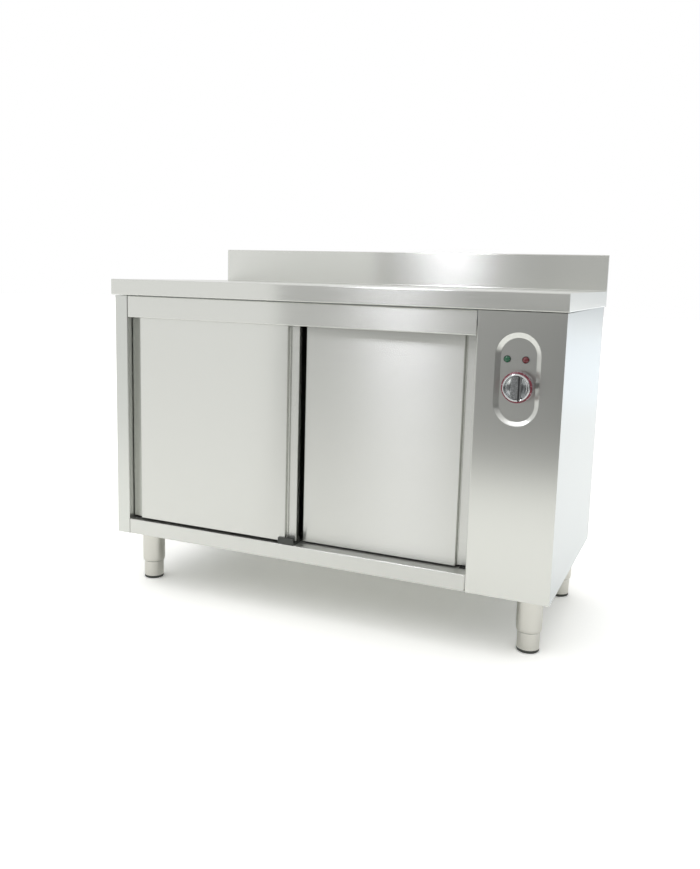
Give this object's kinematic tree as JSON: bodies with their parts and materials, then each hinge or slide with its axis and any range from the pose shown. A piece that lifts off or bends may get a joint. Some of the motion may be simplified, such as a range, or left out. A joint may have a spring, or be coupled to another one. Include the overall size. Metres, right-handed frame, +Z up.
{
  "type": "heated plate cabinet",
  "caption": "Stainless steel heated plate cabinet on adjustable legs, with a worktop and upstand, sliding doors in two lanes, and a control column with a sunken dial panel.",
  "frame": {"origin": "on the floor, under the middle of the worktop", "axes": "+X to the right as seen from the front, +Y to the back, +Z up"},
  "size_m": [1.2, 0.61, 0.941],
  "materials": {
    "worktop_steel": "brushed along its length",
    "panel_steel": "brushed",
    "column_steel": "brushed",
    "rail_steel": "brushed along its length",
    "door_steel": "brushed upright",
    "galvanised_steel": "galvanised",
    "tube_steel": "satin tube",
    "screw_steel": "bright",
    "black_nylon": "moulded",
    "black_rubber": "moulded",
    "white_nylon": "turned",
    "board_wood": "pressed board",
    "mineral_wool": "fibrous",
    "chromed_plastic": "bright chrome",
    "dial_aluminium": "satin with printed scale",
    "green_lens": "clear coloured lens",
    "red_lens": "clear coloured lens",
    "pale_plastic": "moulded",
    "copper_tube": "drawn tube",
    "motor_iron": "painted",
    "fan_aluminium": "stamped",
    "heater_steel": "scaled by heat"
  },
  "bodies": {
    "cabinet": {"worktop": "worktop_steel", "worktop_board": "board_wood", "worktop_stiffeners": "galvanised_steel", "left_side_panel": "panel_steel", "left_inner_panel": "panel_steel", "right_side_panel": "panel_steel", "control_column_front": "column_steel", "partition_panel": "panel_steel", "rear_panel": "panel_steel", "base_tray": "rail_steel", "leg_channels": "galvanised_steel", "top_fascia": "rail_steel", "door_track": "galvanised_steel", "ceiling_panel": "panel_steel", "insulation": "mineral_wool", "door_guide_block": "black_nylon", "door_stops": "black_rubber", "middle_shelf": "rail_steel", "shelf_supports": "rail_steel", "leg_tube_front_left": "tube_steel", "leg_tube_front_right": "tube_steel", "leg_tube_rear_left": "tube_steel", "leg_tube_rear_right": "tube_steel", "leg_bolts": "galvanised_steel", "panel_screws": "screw_steel", "dial_ring": "dial_aluminium", "thermostat_body": "pale_plastic", "thermostat_bulb": "copper_tube", "green_lamp": "green_lens", "red_lamp": "red_lens", "fan_housing": "galvanised_steel", "fan_motor": "motor_iron", "heater_element": "heater_steel", "safety_thermostat": "black_nylon", "terminal_block": "pale_plastic", "cable_gland": "black_nylon"},
    "left_door": {"left_door_skin": "door_steel", "left_door_liner": "door_steel", "left_door_core": "mineral_wool", "left_door_hangers": "galvanised_steel"},
    "right_door": {"right_door_skin": "door_steel", "right_door_liner": "door_steel", "right_door_core": "mineral_wool", "right_door_hangers": "galvanised_steel"},
    "left_roller_outer": {"left_door_roller_outer": "white_nylon"},
    "left_roller_inner": {"left_door_roller_inner": "white_nylon"},
    "right_roller_inner": {"right_door_roller_inner": "white_nylon"},
    "right_roller_outer": {"right_door_roller_outer": "white_nylon"},
    "knob": {"knob": "chromed_plastic", "thermostat_shaft": "screw_steel"},
    "fan": {"fan_wheel": "fan_aluminium"},
    "foot_front_left": {"foot_tube_front_left": "tube_steel", "foot_glide_front_left": "black_nylon"},
    "foot_front_right": {"foot_tube_front_right": "tube_steel", "foot_glide_front_right": "black_nylon"},
    "foot_rear_left": {"foot_tube_rear_left": "tube_steel", "foot_glide_rear_left": "black_nylon"},
    "foot_rear_right": {"foot_tube_rear_right": "tube_steel", "foot_glide_rear_right": "black_nylon"}
  },
  "joints": [
    {"name": "left_door_slide", "type": "slide", "parent": "cabinet", "child": "left_door", "axis": [1, 0, 0], "range_m": [0, 0.447]},
    {"name": "right_door_slide", "type": "slide", "parent": "cabinet", "child": "right_door", "axis": [-1, 0, 0], "range_m": [0, 0.447]},
    {"name": "left_roller_outer_roll", "type": "hinge", "parent": "left_door", "child": "left_roller_outer", "pos_m": [-0.459, -0.271, 0.7864], "axis": [0, 1, 0], "range_deg": [0, 3207]},
    {"name": "left_roller_inner_roll", "type": "hinge", "parent": "left_door", "child": "left_roller_inner", "pos_m": [-0.145, -0.271, 0.7864], "axis": [0, 1, 0], "range_deg": [0, 3207]},
    {"name": "right_roller_inner_roll", "type": "hinge", "parent": "right_door", "child": "right_roller_inner", "pos_m": [-0.011, -0.2385, 0.7864], "axis": [0, -1, 0], "range_deg": [0, 3207]},
    {"name": "right_roller_outer_roll", "type": "hinge", "parent": "right_door", "child": "right_roller_outer", "pos_m": [0.303, -0.2385, 0.7864], "axis": [0, -1, 0], "range_deg": [0, 3207]},
    {"name": "knob_turn", "type": "hinge", "parent": "cabinet", "child": "knob", "pos_m": [0.498, -0.29, 0.6355], "axis": [0, 1, 0], "range_deg": [0, 270]},
    {"name": "fan_spin", "type": "hinge", "parent": "cabinet", "child": "fan", "pos_m": [0.4462, 0.1, 0.363], "axis": [1, 0, 0], "continuous": true},
    {"name": "foot_front_left_adjust", "type": "slide", "parent": "cabinet", "child": "foot_front_left", "axis": [0, 0, -1], "range_m": [-0.01, 0.02]},
    {"name": "foot_front_right_adjust", "type": "slide", "parent": "cabinet", "child": "foot_front_right", "axis": [0, 0, -1], "range_m": [-0.01, 0.02]},
    {"name": "foot_rear_left_adjust", "type": "slide", "parent": "cabinet", "child": "foot_rear_left", "axis": [0, 0, -1], "range_m": [-0.01, 0.02]},
    {"name": "foot_rear_right_adjust", "type": "slide", "parent": "cabinet", "child": "foot_rear_right", "axis": [0, 0, -1], "range_m": [-0.01, 0.02]}
  ],
  "couplings": [
    {"joint": "left_roller_outer_roll", "follows": "left_door_slide", "rad_per_m": 125},
    {"joint": "left_roller_inner_roll", "follows": "left_door_slide", "rad_per_m": 125},
    {"joint": "right_roller_inner_roll", "follows": "right_door_slide", "rad_per_m": 125},
    {"joint": "right_roller_outer_roll", "follows": "right_door_slide", "rad_per_m": 125}
  ]
}
